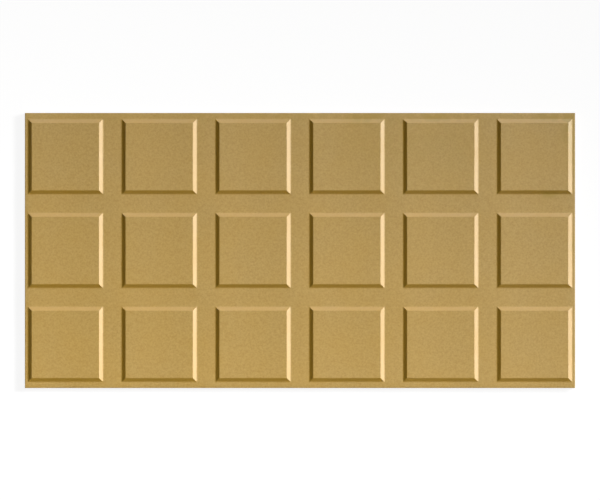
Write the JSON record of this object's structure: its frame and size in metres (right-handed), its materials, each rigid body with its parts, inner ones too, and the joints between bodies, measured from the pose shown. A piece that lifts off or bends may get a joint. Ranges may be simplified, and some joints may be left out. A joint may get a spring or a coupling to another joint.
{
  "type": "decorative ceramic tile",
  "caption": "Flat rectangular ceramic wall tile with a grid of raised bevelled square pads under a satin gold glaze, and shallow keying grooves across its back for adhesive.",
  "frame": {"origin": "centre of the back, on the plane that beds on the wall or floor", "axes": "+X along the tile's length, +Y along its width, +Z out of the glazed face"},
  "size_m": [0.6, 0.3, 0.0105],
  "materials": {
    "gold_glaze": "satin"
  },
  "bodies": {
    "root": {"tile": "gold_glaze"}
  },
  "joints": []
}
